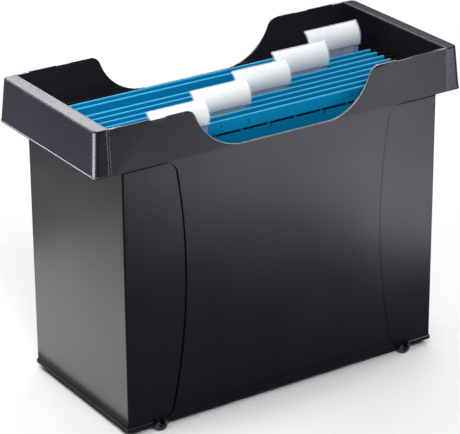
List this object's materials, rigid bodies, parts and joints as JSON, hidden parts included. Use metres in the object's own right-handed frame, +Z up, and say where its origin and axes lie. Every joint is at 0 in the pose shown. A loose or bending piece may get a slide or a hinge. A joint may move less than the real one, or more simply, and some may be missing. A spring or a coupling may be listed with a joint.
{
  "type": "portable file box",
  "caption": "Open carrying box for hanging files: tub with a dipped rim, grips at both ends, barrel feet, and blue V-shaped files with labelled tabs on steel bars.",
  "frame": {"origin": "middle of the ground between the four feet", "axes": "+Z up, +X along the box's length towards its right grip, -Y out of its front face"},
  "size_m": [0.3962, 0.1766, 0.3002],
  "materials": {
    "box_plastic": "fine satin grain, black",
    "grip_plastic": "fine satin grain, black",
    "feet_plastic": "glossy black",
    "card": "matt blue card",
    "bar_steel": "black lacquered steel strip",
    "tab_plastic": "clear",
    "label_paper": "plain white paper"
  },
  "bodies": {
    "root": {"box_body": "box_plastic", "grip_left": "grip_plastic", "grip_right": "grip_plastic", "foot_front_left": "feet_plastic", "foot_front_right": "feet_plastic", "foot_rear_left": "feet_plastic", "foot_rear_right": "feet_plastic"},
    "file_1_rear_half": {"file_1_rear_leaf": "card", "file_1_rear_bar": "bar_steel"},
    "file_1_front_half": {"file_1_front_leaf": "card", "file_1_front_bar": "bar_steel", "file_1_tab": "tab_plastic"},
    "file_1_label_body": {"file_1_label": "label_paper"},
    "file_2_rear_half": {"file_2_rear_leaf": "card", "file_2_rear_bar": "bar_steel"},
    "file_2_front_half": {"file_2_front_leaf": "card", "file_2_front_bar": "bar_steel", "file_2_tab": "tab_plastic"},
    "file_2_label_body": {"file_2_label": "label_paper"},
    "file_3_rear_half": {"file_3_rear_leaf": "card", "file_3_rear_bar": "bar_steel"},
    "file_3_front_half": {"file_3_front_leaf": "card", "file_3_front_bar": "bar_steel", "file_3_tab": "tab_plastic"},
    "file_3_label_body": {"file_3_label": "label_paper"},
    "file_4_rear_half": {"file_4_rear_leaf": "card", "file_4_rear_bar": "bar_steel"},
    "file_4_front_half": {"file_4_front_leaf": "card", "file_4_front_bar": "bar_steel", "file_4_tab": "tab_plastic"},
    "file_4_label_body": {"file_4_label": "label_paper"},
    "file_5_rear_half": {"file_5_rear_leaf": "card", "file_5_rear_bar": "bar_steel"},
    "file_5_front_half": {"file_5_front_leaf": "card", "file_5_front_bar": "bar_steel", "file_5_tab": "tab_plastic"},
    "file_5_label_body": {"file_5_label": "label_paper"}
  },
  "joints": [
    {"name": "file_1_slide", "type": "slide", "parent": "root", "child": "file_1_rear_half", "axis": [0, 1, 0], "range_m": [-0.0045, 0.0045]},
    {"name": "file_1_open", "type": "hinge", "parent": "file_1_rear_half", "child": "file_1_front_half", "pos_m": [0, -0.06515, 0.0322], "axis": [1, 0, 0], "range_deg": [-1.8, 1]},
    {"name": "file_1_label_slide", "type": "slide", "parent": "file_1_front_half", "child": "file_1_label_body", "axis": [1, 0, 0], "range_m": [0, 0.058]},
    {"name": "file_2_slide", "type": "slide", "parent": "root", "child": "file_2_rear_half", "axis": [0, 1, 0], "range_m": [-0.0045, 0.0045]},
    {"name": "file_2_open", "type": "hinge", "parent": "file_2_rear_half", "child": "file_2_front_half", "pos_m": [0, -0.04345, 0.0322], "axis": [1, 0, 0], "range_deg": [-1.8, 1]},
    {"name": "file_2_label_slide", "type": "slide", "parent": "file_2_front_half", "child": "file_2_label_body", "axis": [1, 0, 0], "range_m": [0, 0.058]},
    {"name": "file_3_slide", "type": "slide", "parent": "root", "child": "file_3_rear_half", "axis": [0, 1, 0], "range_m": [-0.0045, 0.0045]},
    {"name": "file_3_open", "type": "hinge", "parent": "file_3_rear_half", "child": "file_3_front_half", "pos_m": [0, -0.02175, 0.0322], "axis": [1, 0, 0], "range_deg": [-1.8, 1]},
    {"name": "file_3_label_slide", "type": "slide", "parent": "file_3_front_half", "child": "file_3_label_body", "axis": [1, 0, 0], "range_m": [0, 0.058]},
    {"name": "file_4_slide", "type": "slide", "parent": "root", "child": "file_4_rear_half", "axis": [0, 1, 0], "range_m": [-0.0045, 0.0045]},
    {"name": "file_4_open", "type": "hinge", "parent": "file_4_rear_half", "child": "file_4_front_half", "pos_m": [0, -0.00005, 0.0322], "axis": [1, 0, 0], "range_deg": [-1.8, 1]},
    {"name": "file_4_label_slide", "type": "slide", "parent": "file_4_front_half", "child": "file_4_label_body", "axis": [-1, 0, 0], "range_m": [0, 0.058]},
    {"name": "file_5_slide", "type": "slide", "parent": "root", "child": "file_5_rear_half", "axis": [0, 1, 0], "range_m": [-0.012, 0.04]},
    {"name": "file_5_open", "type": "hinge", "parent": "file_5_rear_half", "child": "file_5_front_half", "pos_m": [0, 0.03045, 0.0322], "axis": [1, 0, 0], "range_deg": [-1.8, 1]},
    {"name": "file_5_label_slide", "type": "slide", "parent": "file_5_front_half", "child": "file_5_label_body", "axis": [-1, 0, 0], "range_m": [0, 0.058]}
  ]
}
